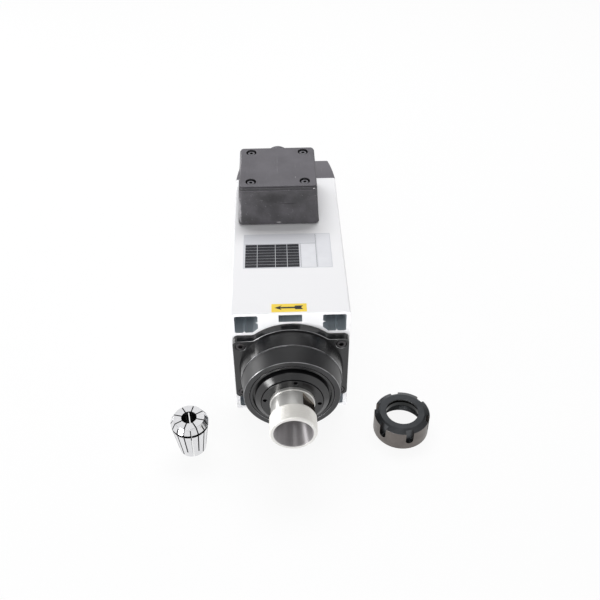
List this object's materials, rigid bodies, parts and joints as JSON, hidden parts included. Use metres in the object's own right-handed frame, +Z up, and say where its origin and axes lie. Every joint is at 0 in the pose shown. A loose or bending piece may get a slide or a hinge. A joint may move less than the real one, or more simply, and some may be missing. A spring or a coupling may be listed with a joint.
{
  "type": "air-cooled spindle motor",
  "caption": "Square air-cooled router spindle with a collet nose, terminal box and rear fan, and its collet and collet nut beside it.",
  "frame": {"origin": "centre of the body's flat bottom face", "axes": "+Y along the spindle axis towards the fan, so the nose points to -Y; +Z up out of the mounting face; +X to the right when facing the nose's back"},
  "size_m": [0.2312, 0.3329, 0.1627],
  "materials": {
    "white_powder_coat": "satin white powder coat over extruded aluminium",
    "black_anodised": "semi-gloss black coated aluminium",
    "shield_casting": "plain machined aluminium",
    "black_screws": "black oxide socket head screws",
    "zinc_screws": "zinc plated screws",
    "turned_steel": "bright turned spindle steel",
    "ground_steel": "ground bearing and collet steel",
    "spring_steel": "dark spring and spacer steel",
    "black_oxide": "black oxide steel",
    "lamination_steel": "stacked electrical steel",
    "cast_cage": "die cast aluminium",
    "copper_winding": "enamelled copper wire",
    "lead_insulation": "red silicone insulated leads",
    "black_rubber": "black rubber",
    "grey_plastic": "dark grey moulded plastic",
    "cage_polyamide": "moulded polyamide bearing cages",
    "fan_plastic": "black glass filled plastic",
    "terminal_plastic": "cream phenolic moulding",
    "brass_screws": "plain brass",
    "plate_silver": "printed silver foil plate",
    "label_yellow": "yellow printed film"
  },
  "bodies": {
    "motor_body": {"housing_extrusion": "white_powder_coat", "stator_core": "lamination_steel", "stator_windings": "copper_winding", "stator_leads": "lead_insulation", "lead_sleeve": "black_rubber", "front_end_cap": "black_anodised", "front_cap_screws": "black_screws", "front_bearing_cover": "black_anodised", "front_bearing_1_outer_race": "ground_steel", "front_bearing_2_outer_race": "ground_steel", "outer_bearing_spacer": "spring_steel", "rear_end_shield": "shield_casting", "rear_shield_screws": "black_screws", "rear_bearing_outer_race": "ground_steel", "rear_disc_spring": "spring_steel", "fan_cover": "grey_plastic", "fan_cover_screws": "black_screws", "terminal_box_base": "grey_plastic", "lid_gasket": "black_rubber", "terminal_box_gasket": "black_rubber", "terminal_box_lid": "grey_plastic", "lid_screws": "black_screws", "box_mounting_screws": "zinc_screws", "earth_screw": "zinc_screws", "terminal_block": "terminal_plastic", "terminal_screws": "brass_screws", "cable_gland_body": "grey_plastic", "cable_gland_locknut": "grey_plastic", "cable_gland_nut": "grey_plastic", "cable_gland_seal": "black_rubber", "rating_plate": "plate_silver", "direction_label": "label_yellow"},
    "rotor": {"spindle_shaft": "turned_steel", "labyrinth_ring": "black_anodised", "front_bearing_1_inner_race": "ground_steel", "front_bearing_2_inner_race": "ground_steel", "inner_bearing_spacer": "spring_steel", "front_locknut": "spring_steel", "rotor_core": "lamination_steel", "rotor_cage": "cast_cage", "rear_bearing_inner_race": "ground_steel", "rear_retaining_ring": "spring_steel", "cooling_fan": "fan_plastic", "fan_washer": "spring_steel", "fan_screw": "black_screws"},
    "front_balls": {"front_bearing_1_balls": "ground_steel", "front_bearing_2_balls": "ground_steel", "front_bearing_1_cage": "cage_polyamide", "front_bearing_2_cage": "cage_polyamide"},
    "rear_balls": {"rear_bearing_balls": "ground_steel", "rear_bearing_cage": "cage_polyamide"},
    "loose_collet": {"collet": "ground_steel"},
    "loose_nut": {"collet_nut": "black_oxide", "nut_extractor_ring": "black_oxide"}
  },
  "joints": [
    {"name": "rotor_spin", "type": "hinge", "parent": "motor_body", "child": "rotor", "pos_m": [0, -0.1032, 0.06], "axis": [0, -1, 0], "continuous": true},
    {"name": "front_balls_orbit", "type": "hinge", "parent": "motor_body", "child": "front_balls", "pos_m": [0, -0.1202, 0.06], "axis": [0, -1, 0], "continuous": true},
    {"name": "rear_balls_orbit", "type": "hinge", "parent": "motor_body", "child": "rear_balls", "pos_m": [0, 0.1002, 0.06], "axis": [0, -1, 0], "continuous": true},
    {"name": "collet_lift", "type": "slide", "parent": "motor_body", "child": "loose_collet", "axis": [0, 0, 1], "range_m": [0, 0.18]},
    {"name": "nut_lift", "type": "slide", "parent": "motor_body", "child": "loose_nut", "axis": [0, 0, 1], "range_m": [0, 0.18]}
  ],
  "couplings": [
    {"joint": "front_balls_orbit", "follows": "rotor_spin", "ratio": 0.4223},
    {"joint": "rear_balls_orbit", "follows": "rotor_spin", "ratio": 0.3987}
  ]
}
